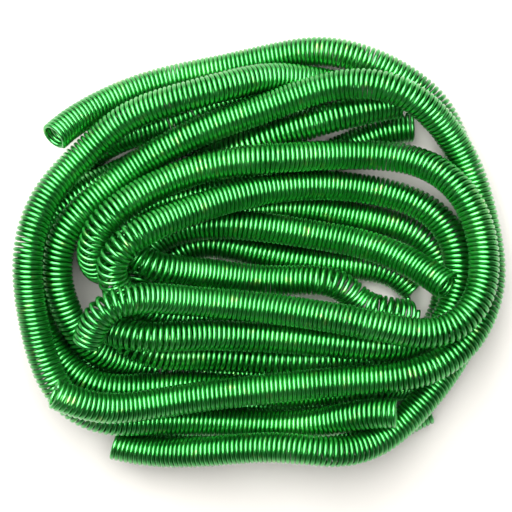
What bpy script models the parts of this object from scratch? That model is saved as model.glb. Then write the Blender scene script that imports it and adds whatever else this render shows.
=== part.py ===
"""A loose hank of close-wound enamelled copper coil, in twelve cut lengths, metres, +Z up."""

import bpy
import numpy as np

# Millimetres, until metres() at the end.
WIRE_DIAMETER = 0.5
MANDREL_DIAMETER = 2.5
COIL_DIAMETER = MANDREL_DIAMETER + 2 * WIRE_DIAMETER
COIL_RADIUS = COIL_DIAMETER / 2

# A coil in a hollow between two others lies this much above them.
LAYER_RISE = 3.05
POINT_SPACING = 1.4
CURVE_STEPS = 24

# Settling: the least gap and bend radius, and how strongly each round corrects a coil.
CLEARANCE = 0.16
TIGHTEST_BEND = 5.0
STIFFNESS = 0.3
BEND_SHARE = 0.25
LENGTH_SHARE = 0.25
HOME_PULL = 0.08
SINK_STEP = 0.012
SETTLING_ROUNDS = 700
BENDING_PASSES = 3
PUSHING_PASSES = 2

# The share of the rounds over which the sinking and the pull home ease off.
EASING_OFF = 1 / 3

# How often touching pairs are looked for, and how far past touching. Segments of one coil within
# NEIGHBOUR_REACH diameters of each other never count.
SEARCH_EVERY = 20
SEARCH_MARGIN = 1.2
NEIGHBOUR_REACH = 2.2

# One length was bent too far here and folds instead of curving.
KINKED_LENGTH = "coil_length_03"
KINK_PLACE = (11.2, -4.3)
KINK_REACH = 4.0
KINK_FIRMNESS = 0.1

# Each tube takes one settled point in this many, and has this many sides.
POINTS_PER_RING = 2
TUBE_BEVEL_RESOLUTION = 2
ENAMEL_GREEN = (0.012, 0.32, 0.045, 1.0)

# Where each length lies, as (x, y, layer): millimetres in plan, and the layer it rests in, 0 on the floor.
ROUTES = {
    # From under the front bundle, round the left end, over the back bundle and round the right end.
    "coil_length_01": [
        (13.0, -13.0, 0), (9.0, -13.5, 0), (4.0, -13.6, 0), (-1.2, -13.6, 0), (-7.0, -13.6, 0),
        (-12.5, -13.6, 0), (-15.9, -12.9, 0.3), (-18.4, -10.9, 0.5), (-20.4, -8.3, 0.8), (-22.2, -5.4, 1),
        (-22.7, -2.4, 1.1), (-22.5, 0.6, 1.3), (-21.3, 3.4, 1.5), (-19.3, 5.3, 1.7), (-17.1, 7.2, 1.9),
        (-14.9, 9.0, 1.9), (-12.7, 10.7, 1.9), (-10.5, 12.3, 1.9), (-8.3, 13.5, 1.9), (-6.1, 14.4, 1.9),
        (-3.9, 15.3, 1.9), (0.4, 16.7, 1.9), (4.8, 18.4, 1.9), (9.2, 19.4, 1.9), (13.6, 19.3, 1.8),
        (18.0, 17.6, 1.5), (21.9, 13.8, 1.2), (24.8, 8.2, 1), (25.9, 1.5, 1), (25.3, -5.0, 1.1),
        (22.8, -9.8, 1.4), (17.9, -12.8, 1.9), (13.6, -13.5, 2), (9.2, -14.1, 2), (4.8, -14.6, 2),
        (0.4, -15.0, 2), (-3.9, -15.4, 2), (-8.3, -16.0, 1.9), (-12.7, -16.5, 1.8), (-16.0, -17.1, 1.8),
        (-19.4, -17.0, 1.8), (-22.2, -15.0, 2),
    ],
    # The back edge, then round the right end to the front edge.
    "coil_length_02": [
        (-22.6, 12.2, 1.8), (-18.0, 17.0, 1.3), (-12.7, 20.0, 1), (-8.3, 21.0, 1), (-1.8, 22.0, 1),
        (4.8, 22.9, 1), (10.0, 22.8, 0.9), (15.5, 21.2, 0.7), (20.3, 17.6, 0.4), (23.4, 12.5, 0.2),
        (25.1, 6.0, 0), (25.6, -1.0, 0), (24.6, -8.0, 0), (21.8, -13.6, 0.3), (17.5, -18.0, 0.8),
        (14.0, -19.6, 1.1), (10.3, -20.5, 1.3), (7.0, -21.0, 1.3), (2.6, -21.3, 1.3), (-1.8, -21.6, 1.3),
        (-6.1, -21.8, 1.2), (-11.5, -21.7, 1), (-16.5, -20.6, 0.9),
    ],
    # A short inner loop: along the back bundle, under it at the left, and back along the slot.
    "coil_length_03": [
        (18.4, 16.4, 0.5), (16.0, 15.4, 0.5), (13.6, 14.2, 0.5), (11.4, 13.1, 0.5), (6.0, 10.8, 0),
        (0.4, 9.2, 0.1), (-5.0, 7.8, 0.2), (-10.5, 5.9, 0.1), (-13.9, 4.9, 0), (-16.0, 3.0, 0),
        (-15.9, 0.4, 0), (-13.6, -1.0, 0.1), (-10.5, -1.0, 0.3), (-6.1, -1.7, 0.4), (-1.8, -2.5, 0.5),
        (2.6, -3.0, 0.6), (7.0, -3.1, 0.8), (9.6, -3.1, 1.0), (11.0, -4.2, 0.9), (12.2, -5.6, 0.6),
        (13.8, -6.1, 0.5), (16.2, -6.4, 0.6), (18.6, -7.0, 0.7),
    ],
    # Along the floor at the front, round the left end, and under the back bundle.
    "coil_length_04": [
        (20.0, -17.2, 0), (16.0, -18.9, 0), (11.0, -20.0, 0), (5.0, -20.5, 0), (-3.0, -20.7, 0),
        (-10.0, -20.2, 0), (-16.0, -18.4, 0), (-20.8, -15.0, 0), (-24.0, -9.5, 0), (-25.2, -3.0, 0),
        (-24.5, 3.0, 0.2), (-22.2, 7.4, 0.6), (-19.3, 10.2, 0.9), (-17.1, 11.6, 1), (-14.9, 12.5, 1),
        (-12.7, 13.7, 0.9), (-10.5, 14.7, 0.8), (-8.3, 15.6, 0.6), (-6.1, 16.6, 0.3), (-2.5, 17.9, 0.1),
        (1.0, 18.9, 0),
    ],
    # The middle of the back bundle, round the right end, and along the slot's front side.
    "coil_length_05": [
        (-12.0, -3.9, 0), (-14.8, -3.4, 0), (-17.0, -1.8, 0.3), (-17.8, 0.8, 0.8), (-16.5, 3.8, 1.1),
        (-14.3, 5.8, 1.1), (-12.7, 6.9, 1.1), (-10.5, 8.2, 1.1), (-8.3, 9.2, 1.1), (-6.1, 10.0, 1.1),
        (-1.8, 10.9, 1.2), (2.6, 11.3, 1.2), (7.0, 11.5, 1.2), (11.4, 11.5, 1.2), (15.8, 11.3, 1.2),
        (19.6, 10.5, 1.4), (22.8, 8.2, 1.5), (24.7, 4.4, 1.6), (25.2, -0.5, 1.8), (24.4, -5.4, 2),
        (21.8, -8.4, 2), (17.9, -8.5, 1.9), (13.6, -7.8, 1.8), (9.2, -7.1, 1.8), (4.8, -6.5, 1.8),
        (0.4, -5.9, 1.8), (-3.9, -5.5, 1.8), (-8.3, -5.1, 1.8), (-12.7, -4.9, 1.7), (-16.1, -4.7, 1.6),
        (-18.2, -6.0, 1.3), (-18.2, -8.8, 0.9),
    ],
    # An inner loop: down the right end to the front bundle, round the left end, and back along the slot.
    "coil_length_06": [
        (-5.0, 5.2, 0), (2.6, 5.8, 0.5), (7.0, 5.3, 0.8), (11.4, 4.5, 0.9), (15.8, 3.6, 1),
        (19.6, 2.4, 0.9), (21.6, 0.0, 0.5), (21.9, -4.2, 0), (19.8, -8.8, 0.2), (15.6, -11.3, 0.6),
        (11.4, -11.7, 0.9), (7.0, -11.7, 1), (2.6, -11.7, 1), (-1.8, -11.6, 1), (-6.1, -11.5, 1),
        (-10.5, -11.4, 1), (-14.2, -11.3, 1), (-16.6, -10.3, 0.5), (-16.6, -7.6, 0), (-15.0, -4.6, 0),
        (-13.6, -1.6, 0), (-11.6, 0.8, 0.2), (-8.3, 1.3, 0.5), (-3.9, 0.9, 0.5), (0.4, 0.2, 0.5),
        (4.8, -0.4, 0.5), (9.2, -1.1, 0.5), (13.6, -1.6, 0.4), (17.9, -2.4, 0.2), (20.3, -3.4, 0),
    ],
    # The front bundle, round the right end, on top along the slot's back side, and under the left end.
    "coil_length_07": [
        (-17.2, -8.1, 0.8), (-14.9, -8.2, 1.2), (-10.5, -8.3, 1.2), (-6.1, -8.6, 1.2), (-1.8, -9.0, 1.2),
        (2.6, -9.3, 1.2), (7.0, -9.6, 1.2), (11.4, -10.0, 1.1), (15.8, -10.3, 1), (19.4, -9.8, 0.9),
        (22.2, -7.2, 0.9), (23.3, -3.2, 1), (23.2, 1.0, 1.2), (21.4, 4.2, 1.5), (17.9, 6.0, 1.7),
        (15.8, 6.8, 1.8), (13.6, 7.3, 1.9), (9.2, 8.0, 1.9), (4.8, 8.1, 1.9), (2.6, 8.0, 1.9),
        (0.4, 7.5, 1.9), (-1.8, 7.1, 1.9), (-3.9, 6.5, 1.9), (-6.1, 5.7, 1.9), (-8.3, 4.5, 1.9),
        (-10.5, 3.3, 1.8), (-12.7, 2.1, 1.8), (-14.7, 0.8, 1.6), (-16.0, -1.3, 1.2), (-15.6, -4.0, 0.7),
        (-13.2, -5.9, 0.3), (-9.0, -6.8, 0), (-2.0, -6.9, 0), (4.0, -7.0, 0),
    ],
    # From the front bundle round the left end to the back bundle.
    "coil_length_08": [
        (17.5, -15.4, 0.6), (12.0, -16.1, 0.8), (3.7, -16.0, 0.9), (-3.0, -15.2, 0.9), (-8.9, -14.4, 0.9),
        (-12.7, -14.7, 0.9), (-17.1, -14.9, 0.9), (-21.2, -12.6, 0.9), (-24.0, -8.5, 1), (-25.2, -3.5, 1),
        (-24.5, 2.0, 0.8), (-22.0, 6.4, 0.4), (-19.3, 8.6, 0.2), (-17.1, 9.7, 0.2), (-14.9, 10.8, 0.1),
        (-10.5, 12.1, 0), (-3.9, 14.6, 0), (0.4, 15.7, 0), (4.8, 16.3, 0), (9.5, 16.9, 0),
    ],
    # Low in the back bundle, ending under the left end.
    "coil_length_09": [
        (16.4, 17.6, 0.6), (14.1, 17.2, 0.7), (11.4, 16.5, 0.9), (7.5, 15.6, 1), (4.8, 14.8, 0.9),
        (0.4, 13.3, 0.6), (-3.9, 11.7, 0.3), (-8.3, 9.8, 0.1), (-12.4, 8.0, 0), (-16.0, 5.9, 0),
        (-19.0, 3.4, 0),
    ],
    # From the front bundle round the left end, high, to the back bundle.
    "coil_length_10": [
        (16.0, -17.6, 0.9), (12.5, -18.6, 1), (6.0, -18.9, 1), (0.4, -19.0, 1), (-6.1, -19.1, 1),
        (-12.1, -19.2, 1), (-17.2, -18.6, 0.9), (-21.4, -15.6, 0.9), (-24.1, -10.0, 1.5), (-25.1, -3.5, 1.9),
        (-24.6, 3.0, 1.8), (-22.5, 8.5, 1.4), (-19.6, 12.2, 1.1), (-16.5, 15.0, 1), (-13.8, 16.1, 1),
        (-10.5, 17.0, 1), (-6.1, 18.2, 1), (-1.8, 19.3, 1), (2.6, 20.3, 0.9), (7.0, 21.0, 0.6),
        (12.0, 20.6, 0.4),
    ],
    # Along the slot's back side, and round the slot's left end on the floor.
    "coil_length_11": [
        (22.2, -3.6, 1.1), (20.1, -2.1, 1.2), (15.8, 0.1, 1.1), (11.4, 1.5, 0.9), (7.0, 2.4, 0.8),
        (2.6, 3.1, 0.7), (-1.8, 3.6, 0.5), (-6.1, 3.7, 0.2), (-10.0, 3.1, 0), (-13.0, 1.0, 0),
        (-14.2, -2.2, 0), (-13.4, -6.0, 0), (-10.2, -9.0, 0), (-5.0, -10.3, 0), (2.0, -10.5, 0),
        (9.0, -10.4, 0), (15.0, -9.2, 0),
    ],
    # Low in the front bundle, starting under the left end.
    "coil_length_12": [
        (-21.6, -7.6, 0), (-20.3, -11.2, 0), (-17.4, -14.4, 0), (-13.2, -16.5, 0), (-8.0, -17.2, 0),
        (-2.0, -17.2, 0), (6.0, -17.2, 0), (13.5, -16.8, 0),
    ],
}


def lengths_of(rows):
    return np.sqrt((rows**2).sum(axis=1))


def smooth_line(controls):
    """Evenly spaced points along a smooth curve through the control points."""
    ends = 2 * controls[[0, -1]] - controls[[1, -2]]
    knots = np.vstack([ends[:1], controls, ends[1:]])
    u = np.linspace(0, 1, CURVE_STEPS, endpoint=False)[:, None]
    pieces = []
    for before, start, end, after in zip(knots, knots[1:], knots[2:], knots[3:]):
        span, chord_out, chord_in = lengths_of(np.array([end - start, end - before, after - start]))
        leaving = (end - before) * span / chord_out
        arriving = (after - start) * span / chord_in
        pieces.append(
            (2 * u**3 - 3 * u**2 + 1) * start
            + (u**3 - 2 * u**2 + u) * leaving
            + (3 * u**2 - 2 * u**3) * end
            + (u**3 - u**2) * arriving
        )
    line = np.vstack([*pieces, controls[-1:]])
    run = np.concatenate([[0], np.cumsum(lengths_of(np.diff(line, axis=0)))])
    places = np.linspace(0, run[-1], round(run[-1] / POINT_SPACING) + 1)
    return np.column_stack([np.interp(places, run, line[:, axis]) for axis in range(3)])


def touching_segments(points, starts, owner, place):
    """Pairs of segments that are near each other and aren't neighbours on one coil."""
    middles = (points[starts] + points[starts + 1]) / 2
    first, second = np.triu_indices(len(starts), 1)
    reach = COIL_DIAMETER + CLEARANCE + POINT_SPACING + SEARCH_MARGIN
    near = ((middles[first] - middles[second]) ** 2).sum(axis=1) < reach**2
    first, second = starts[first[near]], starts[second[near]]
    skip = round(NEIGHBOUR_REACH * COIL_DIAMETER / POINT_SPACING)
    apart = (owner[first] != owner[second]) | (np.abs(place[first] - place[second]) > skip)
    return first[apart], second[apart]


def bend_gently(points, inner, firmness):
    """Evens out the bending along each coil, and opens any bend that is too tight."""
    bend = np.zeros_like(points)
    bend[inner] = (points[inner - 1] + points[inner + 1]) / 2 - points[inner]
    uneven = bend[inner] - (bend[inner - 1] + bend[inner + 1]) / 2
    points[inner] += STIFFNESS * firmness[inner] * uneven
    allowed = POINT_SPACING**2 / 2 / TIGHTEST_BEND
    size = np.maximum(lengths_of(bend), 1e-9)
    excess = bend * firmness * np.maximum(1 - allowed / size, 0)[:, None]
    points[inner] += BEND_SHARE * excess[inner]
    points[inner - 1] -= BEND_SHARE / 2 * excess[inner]
    points[inner + 1] -= BEND_SHARE / 2 * excess[inner]


def keep_length(points, starts, place):
    """Draws each segment back towards its own length, every second one at a time."""
    for parity in (0, 1):
        start = starts[place[starts] % 2 == parity]
        along = points[start + 1] - points[start]
        length = lengths_of(along)[:, None]
        shift = LENGTH_SHARE * along * (length - POINT_SPACING) / length
        points[start] += shift
        points[start + 1] -= shift


def push_apart(points, first, second):
    """Moves each pair of segments that overlap to where their coils just clear each other."""
    one, other = points[first + 1] - points[first], points[second + 1] - points[second]
    between = points[first] - points[second]
    aa, ab, bb = (one * one).sum(axis=1), (one * other).sum(axis=1), (other * other).sum(axis=1)
    ac, bc = (one * between).sum(axis=1), (other * between).sum(axis=1)
    s = np.clip((ab * bc - bb * ac) / np.maximum(aa * bb - ab * ab, 1e-9), 0, 1)
    t = np.clip((ab * s + bc) / bb, 0, 1)
    s = np.clip((ab * t - ac) / aa, 0, 1)
    away = between + one * s[:, None] - other * t[:, None]
    distance = np.maximum(lengths_of(away), 1e-6)
    depth = np.maximum(COIL_DIAMETER + CLEARANCE - distance, 0)
    push = away * (depth / distance / 2)[:, None]
    touch = (depth > 0).astype(float)
    moves, weights = np.zeros_like(points), np.zeros(len(points))
    for index, share, sign in (
        (first, 1 - s, 1),
        (first + 1, s, 1),
        (second, 1 - t, -1),
        (second + 1, t, -1),
    ):
        np.add.at(moves, index, push * (sign * share)[:, None])
        np.add.at(weights, index, touch * share)
    points += moves / np.maximum(weights, 1)[:, None]
    points[:, 2] = np.maximum(points[:, 2], COIL_RADIUS)


def settle(lines):
    """Lets the coils sink onto the floor and onto each other until none overlap."""
    points = np.vstack(lines)
    home = points[:, :2].copy()
    counts = [len(line) for line in lines]
    owner = np.repeat(np.arange(len(lines)), counts)
    place = np.concatenate([np.arange(count) for count in counts])
    starts = np.flatnonzero(owner[:-1] == owner[1:])
    inner = np.flatnonzero(owner[:-2] == owner[2:]) + 1
    firmness = np.ones((len(points), 1))
    kinked = (owner == list(ROUTES).index(KINKED_LENGTH)) & (lengths_of(home - KINK_PLACE) < KINK_REACH)
    firmness[kinked] = KINK_FIRMNESS
    for turn in range(SETTLING_ROUNDS):
        if turn % SEARCH_EVERY == 0:
            first, second = touching_segments(points, starts, owner, place)
        ease = min(1, (1 - turn / SETTLING_ROUNDS) / EASING_OFF)
        points[:, 2] -= SINK_STEP * ease**2
        points[:, :2] += HOME_PULL * ease * (home - points[:, :2])
        for _ in range(BENDING_PASSES):
            bend_gently(points, inner, firmness)
        keep_length(points, starts, place)
        for _ in range(PUSHING_PASSES):
            push_apart(points, first, second)
    return np.split(points, np.cumsum(counts)[:-1])


def hank_lines():
    """Each length's centre line, in millimetres, with the hank centred over the origin."""
    laid = []
    for route in ROUTES.values():
        x, y, layer = np.array(route, float).T
        laid.append(smooth_line(np.column_stack([x, y, COIL_RADIUS + LAYER_RISE * layer])))
    settled = settle(laid)
    every = np.vstack(settled)
    middle = (every.min(axis=0) + every.max(axis=0)) / 2
    middle[2] = 0
    return {name: line - middle for name, line in zip(ROUTES, settled)}


def metres(millimetres):
    return millimetres / 1000


def enamel_material():
    material = bpy.data.materials.new("green_enamelled_copper")
    material.use_nodes = True
    shader = material.node_tree.nodes["Principled BSDF"]
    shader.inputs["Base Color"].default_value = ENAMEL_GREEN
    shader.inputs["Metallic"].default_value = 1.0
    shader.inputs["Roughness"].default_value = 0.25
    return material


def coil_tube(name, line, material):
    """One length of coil as a plain tube of its outer diameter, with closed ends."""
    rings = len(line) // POINTS_PER_RING + 1
    picks = np.round(np.linspace(0, len(line) - 1, rings)).astype(int)
    curve = bpy.data.curves.new(name, "CURVE")
    curve.dimensions = "3D"
    curve.bevel_depth = metres(COIL_RADIUS)
    curve.bevel_resolution = TUBE_BEVEL_RESOLUTION
    curve.use_fill_caps = True
    spline = curve.splines.new("POLY")
    spline.points.add(rings - 1)
    for point, place in zip(spline.points, line[picks]):
        point.co = (*metres(place), 1.0)
    spline.use_smooth = True
    curve.materials.append(material)
    tube = bpy.data.objects.new(name, curve)
    bpy.context.scene.collection.objects.link(tube)
    return tube


def main():
    for old in list(bpy.data.objects):
        bpy.data.objects.remove(old)
    enamel = enamel_material()
    for name, line in hank_lines().items():
        coil_tube(name, line, enamel)


main()
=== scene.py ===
import math

import bpy
import numpy as np
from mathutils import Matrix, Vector


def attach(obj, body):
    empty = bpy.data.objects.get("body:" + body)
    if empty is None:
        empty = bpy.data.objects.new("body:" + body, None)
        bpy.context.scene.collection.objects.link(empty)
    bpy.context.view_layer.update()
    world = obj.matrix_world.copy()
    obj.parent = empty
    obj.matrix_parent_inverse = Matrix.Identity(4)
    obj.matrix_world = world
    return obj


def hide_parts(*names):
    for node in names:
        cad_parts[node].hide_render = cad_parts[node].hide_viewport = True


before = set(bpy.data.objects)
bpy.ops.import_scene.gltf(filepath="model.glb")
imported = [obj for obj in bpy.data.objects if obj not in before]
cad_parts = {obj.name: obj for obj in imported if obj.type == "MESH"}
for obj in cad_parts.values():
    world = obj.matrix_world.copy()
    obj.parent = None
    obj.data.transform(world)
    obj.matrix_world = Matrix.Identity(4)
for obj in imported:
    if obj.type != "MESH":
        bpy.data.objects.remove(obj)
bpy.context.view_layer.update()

# Millimetres, until metres() turns them. The coil's sizes and routes are the CAD model's.
WIRE_DIAMETER = 0.5
MANDREL_DIAMETER = 2.5
COIL_DIAMETER = MANDREL_DIAMETER + 2 * WIRE_DIAMETER
COIL_RADIUS = COIL_DIAMETER / 2

# A coil in a hollow between two others lies this much above them.
LAYER_RISE = 3.05
POINT_SPACING = 1.4
CURVE_STEPS = 24

# Settling: the least gap and bend radius, and how strongly each round corrects a coil.
CLEARANCE = 0.16
TIGHTEST_BEND = 5.0
STIFFNESS = 0.3
BEND_SHARE = 0.25
LENGTH_SHARE = 0.25
HOME_PULL = 0.08
SINK_STEP = 0.012
SETTLING_ROUNDS = 700
BENDING_PASSES = 3
PUSHING_PASSES = 2

# The share of the rounds over which the sinking and the pull home ease off.
EASING_OFF = 1 / 3

# How often touching pairs are looked for, and how far past touching. Segments of one coil within
# NEIGHBOUR_REACH diameters of each other never count.
SEARCH_EVERY = 20
SEARCH_MARGIN = 1.2
NEIGHBOUR_REACH = 2.2

# One length was bent too far here and folds instead of curving.
KINKED_LENGTH = "coil_length_03"
KINK_PLACE = (11.2, -4.3)
KINK_REACH = 4.0
KINK_FIRMNESS = 0.1

# The camera looks straight down, and the frame's width is what it sees at the top coils' height.
SENSOR_WIDTH = 36.0
CAMERA_HEIGHT = 164.0
FOCUS_HEIGHT = 8.0
FRAME_WIDTH = 57.6
CLIP_START = 5.0

# The studio, in metres and watts: (place, size, power), all aimed at the middle of the hank.
SOFTBOXES = {
    "key_above": ((-0.06, 0.14, 0.36), (0.40, 0.56), 6.4),
    "key_back": ((-0.08, 0.46, 0.24), (0.60, 0.30), 0.6),
}
LIT_POINT = (0.0, 0.0, 0.005)
FLOOR_SIZE = 1.2

# Colours, each at a place on a ramp from 0 to 1. The ramp reads a noise, or for the walls the height that a
# direction points at.
ENAMEL_GREENS = [
    (0.30, (0.018, 0.29, 0.040)),
    (0.55, (0.040, 0.40, 0.070)),
    (0.75, (0.085, 0.47, 0.100)),
]
COPPER_SHOWING = [
    (0.62, (0.0, 0.0, 0.0)),
    (0.80, (0.30, 0.30, 0.30)),
]
COPPER_THROUGH_GREEN = (0.62, 0.62, 0.20, 1.0)
FLOOR_TONES = [
    (0.30, (0.48, 0.46, 0.43)),
    (0.70, (0.54, 0.52, 0.49)),
]
WALLS_TO_CEILING = [
    (0.18, (0.52, 0.52, 0.51)),
    (0.40, (0.03, 0.03, 0.03)),
]

# Noise cells to the metre.
GREEN_PATCHES = 140
COPPER_GLINTS = 700
ENAMEL_GRAIN = 420
FLOOR_PATCHES = 30

ENAMEL_ROUGHNESS = (0.24, 0.40)
CLEAR_COAT = {"Coat Weight": 0.8, "Coat Roughness": 0.12, "Coat IOR": 1.5}
FLOOR_ROUGHNESS = 0.7

# The wire's mesh: steps round each turn, and corners round the wire.
STEPS_PER_TURN = 24
WIRE_SIDES = 8
FINE_STEP = 0.1

# How far turns fan open round a bend, evened out over this many fine steps.
OPENING_SHARE = 0.8
WIDEST_OPENING = 0.45
EVENING_STEPS = 61

# Where turns stand apart, on one length each: (x, y, z, half width of the stretch, extra pitch).
STRETCHES = {
    "coil_length_01": (-9.7, -14.3, 1.8, 2.6, 2.0),
    "coil_length_06": (1.3, -12.4, 4.5, 9.0, 0.34),
    "coil_length_07": (-6.7, -9.5, 5.0, 9.0, 0.14),
    "coil_length_08": (-4.7, 13.9, 1.8, 8.0, 0.15),
    "coil_length_09": (0.3, 12.8, 3.5, 8.0, 0.15),
}

# Unevenness of a hand-wound coil: extra pitch as a share, and radius lost in millimetres.
SLACK = 0.012
WIND_SLACK = 0.01

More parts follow.
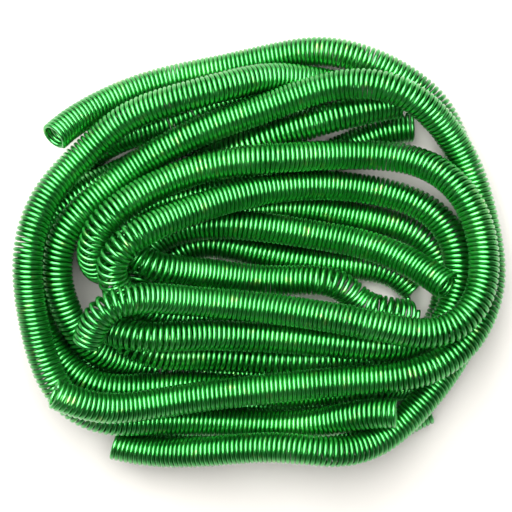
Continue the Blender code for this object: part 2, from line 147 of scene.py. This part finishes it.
# Where each length lies, as (x, y, layer): millimetres in plan, and the layer it rests in, 0 on the floor.
ROUTES = {
    # From under the front bundle, round the left end, over the back bundle and round the right end.
    "coil_length_01": [
        (13.0, -13.0, 0), (9.0, -13.5, 0), (4.0, -13.6, 0), (-1.2, -13.6, 0), (-7.0, -13.6, 0),
        (-12.5, -13.6, 0), (-15.9, -12.9, 0.3), (-18.4, -10.9, 0.5), (-20.4, -8.3, 0.8), (-22.2, -5.4, 1),
        (-22.7, -2.4, 1.1), (-22.5, 0.6, 1.3), (-21.3, 3.4, 1.5), (-19.3, 5.3, 1.7), (-17.1, 7.2, 1.9),
        (-14.9, 9.0, 1.9), (-12.7, 10.7, 1.9), (-10.5, 12.3, 1.9), (-8.3, 13.5, 1.9), (-6.1, 14.4, 1.9),
        (-3.9, 15.3, 1.9), (0.4, 16.7, 1.9), (4.8, 18.4, 1.9), (9.2, 19.4, 1.9), (13.6, 19.3, 1.8),
        (18.0, 17.6, 1.5), (21.9, 13.8, 1.2), (24.8, 8.2, 1), (25.9, 1.5, 1), (25.3, -5.0, 1.1),
        (22.8, -9.8, 1.4), (17.9, -12.8, 1.9), (13.6, -13.5, 2), (9.2, -14.1, 2), (4.8, -14.6, 2),
        (0.4, -15.0, 2), (-3.9, -15.4, 2), (-8.3, -16.0, 1.9), (-12.7, -16.5, 1.8), (-16.0, -17.1, 1.8),
        (-19.4, -17.0, 1.8), (-22.2, -15.0, 2),
    ],
    # The back edge, then round the right end to the front edge.
    "coil_length_02": [
        (-22.6, 12.2, 1.8), (-18.0, 17.0, 1.3), (-12.7, 20.0, 1), (-8.3, 21.0, 1), (-1.8, 22.0, 1),
        (4.8, 22.9, 1), (10.0, 22.8, 0.9), (15.5, 21.2, 0.7), (20.3, 17.6, 0.4), (23.4, 12.5, 0.2),
        (25.1, 6.0, 0), (25.6, -1.0, 0), (24.6, -8.0, 0), (21.8, -13.6, 0.3), (17.5, -18.0, 0.8),
        (14.0, -19.6, 1.1), (10.3, -20.5, 1.3), (7.0, -21.0, 1.3), (2.6, -21.3, 1.3), (-1.8, -21.6, 1.3),
        (-6.1, -21.8, 1.2), (-11.5, -21.7, 1), (-16.5, -20.6, 0.9),
    ],
    # A short inner loop: along the back bundle, under it at the left, and back along the slot.
    "coil_length_03": [
        (18.4, 16.4, 0.5), (16.0, 15.4, 0.5), (13.6, 14.2, 0.5), (11.4, 13.1, 0.5), (6.0, 10.8, 0),
        (0.4, 9.2, 0.1), (-5.0, 7.8, 0.2), (-10.5, 5.9, 0.1), (-13.9, 4.9, 0), (-16.0, 3.0, 0),
        (-15.9, 0.4, 0), (-13.6, -1.0, 0.1), (-10.5, -1.0, 0.3), (-6.1, -1.7, 0.4), (-1.8, -2.5, 0.5),
        (2.6, -3.0, 0.6), (7.0, -3.1, 0.8), (9.6, -3.1, 1.0), (11.0, -4.2, 0.9), (12.2, -5.6, 0.6),
        (13.8, -6.1, 0.5), (16.2, -6.4, 0.6), (18.6, -7.0, 0.7),
    ],
    # Along the floor at the front, round the left end, and under the back bundle.
    "coil_length_04": [
        (20.0, -17.2, 0), (16.0, -18.9, 0), (11.0, -20.0, 0), (5.0, -20.5, 0), (-3.0, -20.7, 0),
        (-10.0, -20.2, 0), (-16.0, -18.4, 0), (-20.8, -15.0, 0), (-24.0, -9.5, 0), (-25.2, -3.0, 0),
        (-24.5, 3.0, 0.2), (-22.2, 7.4, 0.6), (-19.3, 10.2, 0.9), (-17.1, 11.6, 1), (-14.9, 12.5, 1),
        (-12.7, 13.7, 0.9), (-10.5, 14.7, 0.8), (-8.3, 15.6, 0.6), (-6.1, 16.6, 0.3), (-2.5, 17.9, 0.1),
        (1.0, 18.9, 0),
    ],
    # The middle of the back bundle, round the right end, and along the slot's front side.
    "coil_length_05": [
        (-12.0, -3.9, 0), (-14.8, -3.4, 0), (-17.0, -1.8, 0.3), (-17.8, 0.8, 0.8), (-16.5, 3.8, 1.1),
        (-14.3, 5.8, 1.1), (-12.7, 6.9, 1.1), (-10.5, 8.2, 1.1), (-8.3, 9.2, 1.1), (-6.1, 10.0, 1.1),
        (-1.8, 10.9, 1.2), (2.6, 11.3, 1.2), (7.0, 11.5, 1.2), (11.4, 11.5, 1.2), (15.8, 11.3, 1.2),
        (19.6, 10.5, 1.4), (22.8, 8.2, 1.5), (24.7, 4.4, 1.6), (25.2, -0.5, 1.8), (24.4, -5.4, 2),
        (21.8, -8.4, 2), (17.9, -8.5, 1.9), (13.6, -7.8, 1.8), (9.2, -7.1, 1.8), (4.8, -6.5, 1.8),
        (0.4, -5.9, 1.8), (-3.9, -5.5, 1.8), (-8.3, -5.1, 1.8), (-12.7, -4.9, 1.7), (-16.1, -4.7, 1.6),
        (-18.2, -6.0, 1.3), (-18.2, -8.8, 0.9),
    ],
    # An inner loop: down the right end to the front bundle, round the left end, and back along the slot.
    "coil_length_06": [
        (-5.0, 5.2, 0), (2.6, 5.8, 0.5), (7.0, 5.3, 0.8), (11.4, 4.5, 0.9), (15.8, 3.6, 1),
        (19.6, 2.4, 0.9), (21.6, 0.0, 0.5), (21.9, -4.2, 0), (19.8, -8.8, 0.2), (15.6, -11.3, 0.6),
        (11.4, -11.7, 0.9), (7.0, -11.7, 1), (2.6, -11.7, 1), (-1.8, -11.6, 1), (-6.1, -11.5, 1),
        (-10.5, -11.4, 1), (-14.2, -11.3, 1), (-16.6, -10.3, 0.5), (-16.6, -7.6, 0), (-15.0, -4.6, 0),
        (-13.6, -1.6, 0), (-11.6, 0.8, 0.2), (-8.3, 1.3, 0.5), (-3.9, 0.9, 0.5), (0.4, 0.2, 0.5),
        (4.8, -0.4, 0.5), (9.2, -1.1, 0.5), (13.6, -1.6, 0.4), (17.9, -2.4, 0.2), (20.3, -3.4, 0),
    ],
    # The front bundle, round the right end, on top along the slot's back side, and under the left end.
    "coil_length_07": [
        (-17.2, -8.1, 0.8), (-14.9, -8.2, 1.2), (-10.5, -8.3, 1.2), (-6.1, -8.6, 1.2), (-1.8, -9.0, 1.2),
        (2.6, -9.3, 1.2), (7.0, -9.6, 1.2), (11.4, -10.0, 1.1), (15.8, -10.3, 1), (19.4, -9.8, 0.9),
        (22.2, -7.2, 0.9), (23.3, -3.2, 1), (23.2, 1.0, 1.2), (21.4, 4.2, 1.5), (17.9, 6.0, 1.7),
        (15.8, 6.8, 1.8), (13.6, 7.3, 1.9), (9.2, 8.0, 1.9), (4.8, 8.1, 1.9), (2.6, 8.0, 1.9),
        (0.4, 7.5, 1.9), (-1.8, 7.1, 1.9), (-3.9, 6.5, 1.9), (-6.1, 5.7, 1.9), (-8.3, 4.5, 1.9),
        (-10.5, 3.3, 1.8), (-12.7, 2.1, 1.8), (-14.7, 0.8, 1.6), (-16.0, -1.3, 1.2), (-15.6, -4.0, 0.7),
        (-13.2, -5.9, 0.3), (-9.0, -6.8, 0), (-2.0, -6.9, 0), (4.0, -7.0, 0),
    ],
    # From the front bundle round the left end to the back bundle.
    "coil_length_08": [
        (17.5, -15.4, 0.6), (12.0, -16.1, 0.8), (3.7, -16.0, 0.9), (-3.0, -15.2, 0.9), (-8.9, -14.4, 0.9),
        (-12.7, -14.7, 0.9), (-17.1, -14.9, 0.9), (-21.2, -12.6, 0.9), (-24.0, -8.5, 1), (-25.2, -3.5, 1),
        (-24.5, 2.0, 0.8), (-22.0, 6.4, 0.4), (-19.3, 8.6, 0.2), (-17.1, 9.7, 0.2), (-14.9, 10.8, 0.1),
        (-10.5, 12.1, 0), (-3.9, 14.6, 0), (0.4, 15.7, 0), (4.8, 16.3, 0), (9.5, 16.9, 0),
    ],
    # Low in the back bundle, ending under the left end.
    "coil_length_09": [
        (16.4, 17.6, 0.6), (14.1, 17.2, 0.7), (11.4, 16.5, 0.9), (7.5, 15.6, 1), (4.8, 14.8, 0.9),
        (0.4, 13.3, 0.6), (-3.9, 11.7, 0.3), (-8.3, 9.8, 0.1), (-12.4, 8.0, 0), (-16.0, 5.9, 0),
        (-19.0, 3.4, 0),
    ],
    # From the front bundle round the left end, high, to the back bundle.
    "coil_length_10": [
        (16.0, -17.6, 0.9), (12.5, -18.6, 1), (6.0, -18.9, 1), (0.4, -19.0, 1), (-6.1, -19.1, 1),
        (-12.1, -19.2, 1), (-17.2, -18.6, 0.9), (-21.4, -15.6, 0.9), (-24.1, -10.0, 1.5), (-25.1, -3.5, 1.9),
        (-24.6, 3.0, 1.8), (-22.5, 8.5, 1.4), (-19.6, 12.2, 1.1), (-16.5, 15.0, 1), (-13.8, 16.1, 1),
        (-10.5, 17.0, 1), (-6.1, 18.2, 1), (-1.8, 19.3, 1), (2.6, 20.3, 0.9), (7.0, 21.0, 0.6),
        (12.0, 20.6, 0.4),
    ],
    # Along the slot's back side, and round the slot's left end on the floor.
    "coil_length_11": [
        (22.2, -3.6, 1.1), (20.1, -2.1, 1.2), (15.8, 0.1, 1.1), (11.4, 1.5, 0.9), (7.0, 2.4, 0.8),
        (2.6, 3.1, 0.7), (-1.8, 3.6, 0.5), (-6.1, 3.7, 0.2), (-10.0, 3.1, 0), (-13.0, 1.0, 0),
        (-14.2, -2.2, 0), (-13.4, -6.0, 0), (-10.2, -9.0, 0), (-5.0, -10.3, 0), (2.0, -10.5, 0),
        (9.0, -10.4, 0), (15.0, -9.2, 0),
    ],
    # Low in the front bundle, starting under the left end.
    "coil_length_12": [
        (-21.6, -7.6, 0), (-20.3, -11.2, 0), (-17.4, -14.4, 0), (-13.2, -16.5, 0), (-8.0, -17.2, 0),
        (-2.0, -17.2, 0), (6.0, -17.2, 0), (13.5, -16.8, 0),
    ],
}


def lengths_of(rows):
    return np.sqrt((rows**2).sum(axis=1))


def smooth_line(controls):
    """Evenly spaced points along a smooth curve through the control points."""
    ends = 2 * controls[[0, -1]] - controls[[1, -2]]
    knots = np.vstack([ends[:1], controls, ends[1:]])
    u = np.linspace(0, 1, CURVE_STEPS, endpoint=False)[:, None]
    pieces = []
    for before, start, end, after in zip(knots, knots[1:], knots[2:], knots[3:]):
        span, chord_out, chord_in = lengths_of(np.array([end - start, end - before, after - start]))
        leaving = (end - before) * span / chord_out
        arriving = (after - start) * span / chord_in
        pieces.append(
            (2 * u**3 - 3 * u**2 + 1) * start
            + (u**3 - 2 * u**2 + u) * leaving
            + (3 * u**2 - 2 * u**3) * end
            + (u**3 - u**2) * arriving
        )
    line = np.vstack([*pieces, controls[-1:]])
    run = np.concatenate([[0], np.cumsum(lengths_of(np.diff(line, axis=0)))])
    places = np.linspace(0, run[-1], round(run[-1] / POINT_SPACING) + 1)
    return np.column_stack([np.interp(places, run, line[:, axis]) for axis in range(3)])


def touching_segments(points, starts, owner, place):
    """Pairs of segments that are near each other and aren't neighbours on one coil."""
    middles = (points[starts] + points[starts + 1]) / 2
    first, second = np.triu_indices(len(starts), 1)
    reach = COIL_DIAMETER + CLEARANCE + POINT_SPACING + SEARCH_MARGIN
    near = ((middles[first] - middles[second]) ** 2).sum(axis=1) < reach**2
    first, second = starts[first[near]], starts[second[near]]
    skip = round(NEIGHBOUR_REACH * COIL_DIAMETER / POINT_SPACING)
    apart = (owner[first] != owner[second]) | (np.abs(place[first] - place[second]) > skip)
    return first[apart], second[apart]


def bend_gently(points, inner, firmness):
    """Evens out the bending along each coil, and opens any bend that is too tight."""
    bend = np.zeros_like(points)
    bend[inner] = (points[inner - 1] + points[inner + 1]) / 2 - points[inner]
    uneven = bend[inner] - (bend[inner - 1] + bend[inner + 1]) / 2
    points[inner] += STIFFNESS * firmness[inner] * uneven
    allowed = POINT_SPACING**2 / 2 / TIGHTEST_BEND
    size = np.maximum(lengths_of(bend), 1e-9)
    excess = bend * firmness * np.maximum(1 - allowed / size, 0)[:, None]
    points[inner] += BEND_SHARE * excess[inner]
    points[inner - 1] -= BEND_SHARE / 2 * excess[inner]
    points[inner + 1] -= BEND_SHARE / 2 * excess[inner]


def keep_length(points, starts, place):
    """Draws each segment back towards its own length, every second one at a time."""
    for parity in (0, 1):
        start = starts[place[starts] % 2 == parity]
        along = points[start + 1] - points[start]
        length = lengths_of(along)[:, None]
        shift = LENGTH_SHARE * along * (length - POINT_SPACING) / length
        points[start] += shift
        points[start + 1] -= shift


def push_apart(points, first, second):
    """Moves each pair of segments that overlap to where their coils just clear each other."""
    one, other = points[first + 1] - points[first], points[second + 1] - points[second]
    between = points[first] - points[second]
    aa, ab, bb = (one * one).sum(axis=1), (one * other).sum(axis=1), (other * other).sum(axis=1)
    ac, bc = (one * between).sum(axis=1), (other * between).sum(axis=1)
    s = np.clip((ab * bc - bb * ac) / np.maximum(aa * bb - ab * ab, 1e-9), 0, 1)
    t = np.clip((ab * s + bc) / bb, 0, 1)
    s = np.clip((ab * t - ac) / aa, 0, 1)
    away = between + one * s[:, None] - other * t[:, None]
    distance = np.maximum(lengths_of(away), 1e-6)
    depth = np.maximum(COIL_DIAMETER + CLEARANCE - distance, 0)
    push = away * (depth / distance / 2)[:, None]
    touch = (depth > 0).astype(float)
    moves, weights = np.zeros_like(points), np.zeros(len(points))
    for index, share, sign in (
        (first, 1 - s, 1),
        (first + 1, s, 1),
        (second, 1 - t, -1),
        (second + 1, t, -1),
    ):
        np.add.at(moves, index, push * (sign * share)[:, None])
        np.add.at(weights, index, touch * share)
    points += moves / np.maximum(weights, 1)[:, None]
    points[:, 2] = np.maximum(points[:, 2], COIL_RADIUS)


def settle(lines):
    """Lets the coils sink onto the floor and onto each other until none overlap."""
    points = np.vstack(lines)
    home = points[:, :2].copy()
    counts = [len(line) for line in lines]
    owner = np.repeat(np.arange(len(lines)), counts)
    place = np.concatenate([np.arange(count) for count in counts])
    starts = np.flatnonzero(owner[:-1] == owner[1:])
    inner = np.flatnonzero(owner[:-2] == owner[2:]) + 1
    firmness = np.ones((len(points), 1))
    kinked = (owner == list(ROUTES).index(KINKED_LENGTH)) & (lengths_of(home - KINK_PLACE) < KINK_REACH)
    firmness[kinked] = KINK_FIRMNESS
    for turn in range(SETTLING_ROUNDS):
        if turn % SEARCH_EVERY == 0:
            first, second = touching_segments(points, starts, owner, place)
        ease = min(1, (1 - turn / SETTLING_ROUNDS) / EASING_OFF)
        points[:, 2] -= SINK_STEP * ease**2
        points[:, :2] += HOME_PULL * ease * (home - points[:, :2])
        for _ in range(BENDING_PASSES):
            bend_gently(points, inner, firmness)
        keep_length(points, starts, place)
        for _ in range(PUSHING_PASSES):
            push_apart(points, first, second)
    return np.split(points, np.cumsum(counts)[:-1])


def hank_lines():
    """Each length's centre line, in millimetres, with the hank centred over the origin."""
    laid = []
    for route in ROUTES.values():
        x, y, layer = np.array(route, float).T
        laid.append(smooth_line(np.column_stack([x, y, COIL_RADIUS + LAYER_RISE * layer])))
    settled = settle(laid)
    every = np.vstack(settled)
    middle = (every.min(axis=0) + every.max(axis=0)) / 2
    middle[2] = 0
    return {name: line - middle for name, line in zip(ROUTES, settled)}, middle


def metres(millimetres):
    return millimetres / 1000


def add_camera(middle):
    """Above the hank, level with the photographed middle, image top towards +Y."""
    data = bpy.data.cameras.new("camera")
    data.sensor_width = SENSOR_WIDTH
    data.lens = SENSOR_WIDTH * (CAMERA_HEIGHT - FOCUS_HEIGHT) / FRAME_WIDTH
    data.clip_start = metres(CLIP_START)
    camera = bpy.data.objects.new("camera", data)
    camera.location = (metres(-middle[0]), metres(-middle[1]), metres(CAMERA_HEIGHT))
    bpy.context.scene.collection.objects.link(camera)
    bpy.context.scene.camera = camera


def fine_line(line):
    """The settled centre line at FINE_STEP, rounded through its points."""
    ends = 2 * line[[0, -1]] - line[[1, -2]]
    knots = np.vstack([ends[:1], line, ends[1:]])
    u = np.linspace(0, 1, CURVE_STEPS, endpoint=False)[:, None]
    pieces = []
    for before, start, end, after in zip(knots, knots[1:], knots[2:], knots[3:]):
        leaving, arriving = (end - before) / 2, (after - start) / 2
        pieces.append(
            (2 * u**3 - 3 * u**2 + 1) * start
            + (u**3 - 2 * u**2 + u) * leaving
            + (3 * u**2 - 2 * u**3) * end
            + (u**3 - u**2) * arriving
        )
    rounded = np.vstack([*pieces, line[-1:]])
    run = np.concatenate([[0], np.cumsum(lengths_of(np.diff(rounded, axis=0)))])
    places = np.linspace(0, run[-1], round(run[-1] / FINE_STEP) + 1)
    return places, np.column_stack([np.interp(places, run, rounded[:, axis]) for axis in range(3)])


def carried_frame(centres):
    """Tangents, and side directions carried along the line without twist."""
    tangents = np.gradient(centres, axis=0)
    tangents /= lengths_of(tangents)[:, None]
    side = np.cross(tangents[0], (0.0, 0.0, 1.0))
    if side @ side < 1e-6:
        side = np.cross(tangents[0], (0.0, 1.0, 0.0))
    sides = np.empty_like(tangents)
    for place, tangent in enumerate(tangents):
        side = side - tangent * (side @ tangent)
        side /= math.sqrt(side @ side)
        sides[place] = side
    return tangents, sides


def smoothed(values, width):
    """A running mean, with the ends held."""
    kernel = np.hanning(width + 2)[1:-1]
    padded = np.pad(values, width // 2, mode="edge")
    return np.convolve(padded, kernel / kernel.sum(), mode="same")[width // 2 : width // 2 + len(values)]


def turn_count(name, places, centres, tangents, seed):
    """Turns wound up to each place. They crowd on the inside of a bend and fan open on the outside."""
    bend = lengths_of(np.gradient(tangents, places, axis=0))
    mean_radius = (COIL_DIAMETER - WIRE_DIAMETER) / 2
    share = np.minimum(OPENING_SHARE * mean_radius * smoothed(bend, EVENING_STEPS), WIDEST_OPENING)
    opening = 1 / (1 - share)
    stretch = np.ones_like(places)
    if name in STRETCHES:
        *middle, width, extra = STRETCHES[name]
        stretch += extra * np.exp(-((lengths_of(centres - middle) / width) ** 2))
    chance = np.random.default_rng(seed)
    slack = smoothed(chance.normal(0, 1, len(places)), EVENING_STEPS)
    stretch += SLACK * np.abs(slack) / slack.std()
    pitch = WIRE_DIAMETER * opening * stretch
    steps = np.diff(places) / ((pitch[1:] + pitch[:-1]) / 2)
    return np.concatenate([[0], np.cumsum(steps)])


def wire_rings(name, line, seed):
    """Corner points of the wound wire, as rings along it."""
    places, centres = fine_line(line)
    tangents, sides = carried_frame(centres)
    turns = turn_count(name, places, centres, tangents, seed)
    count = int(turns[-1] * STEPS_PER_TURN)
    wound = np.arange(count + 1) / STEPS_PER_TURN
    place = np.interp(wound, turns, places)

    def along(rows):
        return np.column_stack([np.interp(place, places, rows[:, axis]) for axis in range(3)])

    centre, tangent, side = along(centres), along(tangents), along(sides)
    other = np.cross(tangent, side)
    angle = -2 * math.pi * wound[:, None]
    outward = side * np.cos(angle) + other * np.sin(angle)
    chance = np.random.default_rng(seed + 100)
    wobble = smoothed(chance.normal(0, 1, count + 1), STEPS_PER_TURN)
    radius = (COIL_DIAMETER - WIRE_DIAMETER) / 2 - WIND_SLACK * np.abs(wobble / wobble.std())[:, None]
    wire = centre + outward * radius
    heading = np.gradient(wire, axis=0)
    heading /= lengths_of(heading)[:, None]
    outward -= heading * (outward * heading).sum(axis=1)[:, None]
    outward /= lengths_of(outward)[:, None]
    across = np.cross(heading, outward)
    corner = (np.arange(WIRE_SIDES) + 0.5) * 2 * math.pi / WIRE_SIDES
    ring = np.cos(corner)[None, :, None] * outward[:, None] + np.sin(corner)[None, :, None] * across[:, None]
    return wire[:, None] + ring * WIRE_DIAMETER / 2


def wire_mesh(name, rings):
    count, sides = rings.shape[:2]
    first = np.arange(count - 1)[:, None] * sides
    corner = np.arange(sides)[None]
    following = (corner + 1) % sides
    beyond = first + sides
    quads = np.stack([first + corner, first + following, beyond + following, beyond + corner], axis=-1)
    start_cap = np.arange(sides)[::-1]
    end_cap = (count - 1) * sides + np.arange(sides)
    loops = np.concatenate([quads.ravel(), start_cap, end_cap])
    faces = (count - 1) * sides
    starts = np.concatenate([np.arange(faces) * 4, [faces * 4, faces * 4 + sides]])
    mesh = bpy.data.meshes.new(name)
    mesh.vertices.add(count * sides)
    mesh.vertices.foreach_set("co", metres(rings).ravel())
    mesh.loops.add(len(loops))
    mesh.loops.foreach_set("vertex_index", loops.astype(np.int32))
    mesh.polygons.add(len(starts))
    mesh.polygons.foreach_set("loop_start", starts.astype(np.int32))
    mesh.update(calc_edges=True)
    mesh.validate()
    mesh.shade_smooth()
    return mesh


def ramp(tree, source, stops):
    made = tree.nodes.new("ShaderNodeValToRGB")
    while len(made.color_ramp.elements) < len(stops):
        made.color_ramp.elements.new(0.5)
    for element, (place, colour) in zip(made.color_ramp.elements, stops):
        element.position = place
        element.color = (*colour, 1.0)
    tree.links.new(source, made.inputs["Fac"])
    return made.outputs["Color"]


def noise(tree, scale, detail):
    place = tree.nodes.new("ShaderNodeTexCoord")
    made = tree.nodes.new("ShaderNodeTexNoise")
    made.inputs["Scale"].default_value = scale
    made.inputs["Detail"].default_value = detail
    tree.links.new(place.outputs["Object"], made.inputs["Vector"])
    return made.outputs["Fac"]


def enamel_material():
    """Clear green enamel over bright copper: deeper and thinner in patches, so the copper glints through."""
    material = bpy.data.materials.new("green_enamelled_copper")
    material.use_nodes = True
    tree = material.node_tree
    shader = tree.nodes["Principled BSDF"]
    shader.inputs["Metallic"].default_value = 1.0
    for socket, amount in CLEAR_COAT.items():
        shader.inputs[socket].default_value = amount
    green = ramp(tree, noise(tree, GREEN_PATCHES, detail=3), ENAMEL_GREENS)
    glint = ramp(tree, noise(tree, COPPER_GLINTS, detail=2), COPPER_SHOWING)
    mix = tree.nodes.new("ShaderNodeMix")
    mix.data_type = "RGBA"
    mix.inputs["B"].default_value = COPPER_THROUGH_GREEN
    tree.links.new(glint, mix.inputs["Factor"])
    tree.links.new(green, mix.inputs["A"])
    tree.links.new(mix.outputs["Result"], shader.inputs["Base Color"])
    rough = tree.nodes.new("ShaderNodeMapRange")
    rough.inputs["To Min"].default_value, rough.inputs["To Max"].default_value = ENAMEL_ROUGHNESS
    tree.links.new(noise(tree, ENAMEL_GRAIN, detail=3), rough.inputs["Value"])
    tree.links.new(rough.outputs["Result"], shader.inputs["Roughness"])
    return material


def add_coils(lines):
    enamel = enamel_material()
    for seed, (name, line) in enumerate(lines.items()):
        mesh = wire_mesh(name, wire_rings(name, line, seed))
        piece = bpy.data.objects.new(name.replace("coil", "wire_coil"), mesh)
        piece.data.materials.append(enamel)
        bpy.context.scene.collection.objects.link(piece)
        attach(piece, "root")
        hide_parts(name)


def add_floor():
    bpy.ops.mesh.primitive_plane_add(size=FLOOR_SIZE, location=(0, 0, 0))
    floor = bpy.context.object
    floor.name = "floor"
    material = bpy.data.materials.new("pale_floor")
    material.use_nodes = True
    tree = material.node_tree
    shader = tree.nodes["Principled BSDF"]
    shader.inputs["Roughness"].default_value = FLOOR_ROUGHNESS
    colour = ramp(tree, noise(tree, FLOOR_PATCHES, detail=4), FLOOR_TONES)
    tree.links.new(colour, shader.inputs["Base Color"])
    floor.data.materials.append(material)


def add_softbox(name, place, size, power):
    data = bpy.data.lights.new(name, "AREA")
    data.shape = "RECTANGLE"
    data.size, data.size_y = size
    data.energy = power
    light = bpy.data.objects.new(name, data)
    light.location = place
    light.rotation_euler = (Vector(LIT_POINT) - Vector(place)).to_track_quat("-Z", "Y").to_euler()
    bpy.context.scene.collection.objects.link(light)


def add_studio():
    """Pale walls low round the horizon, and a dim ceiling."""
    world = bpy.data.worlds.new("studio")
    world.use_nodes = True
    tree = world.node_tree
    direction = tree.nodes.new("ShaderNodeTexCoord")
    axes = tree.nodes.new("ShaderNodeSeparateXYZ")
    tree.links.new(direction.outputs["Generated"], axes.inputs["Vector"])
    walls = ramp(tree, axes.outputs["Z"], WALLS_TO_CEILING)
    tree.links.new(walls, tree.nodes["Background"].inputs["Color"])
    bpy.context.scene.world = world
    bpy.context.scene.view_settings.view_transform = "Standard"


lines, middle = hank_lines()
add_camera(middle)
add_coils(lines)
add_floor()
for name, (place, size, power) in SOFTBOXES.items():
    add_softbox(name, place, size, power)
add_studio()
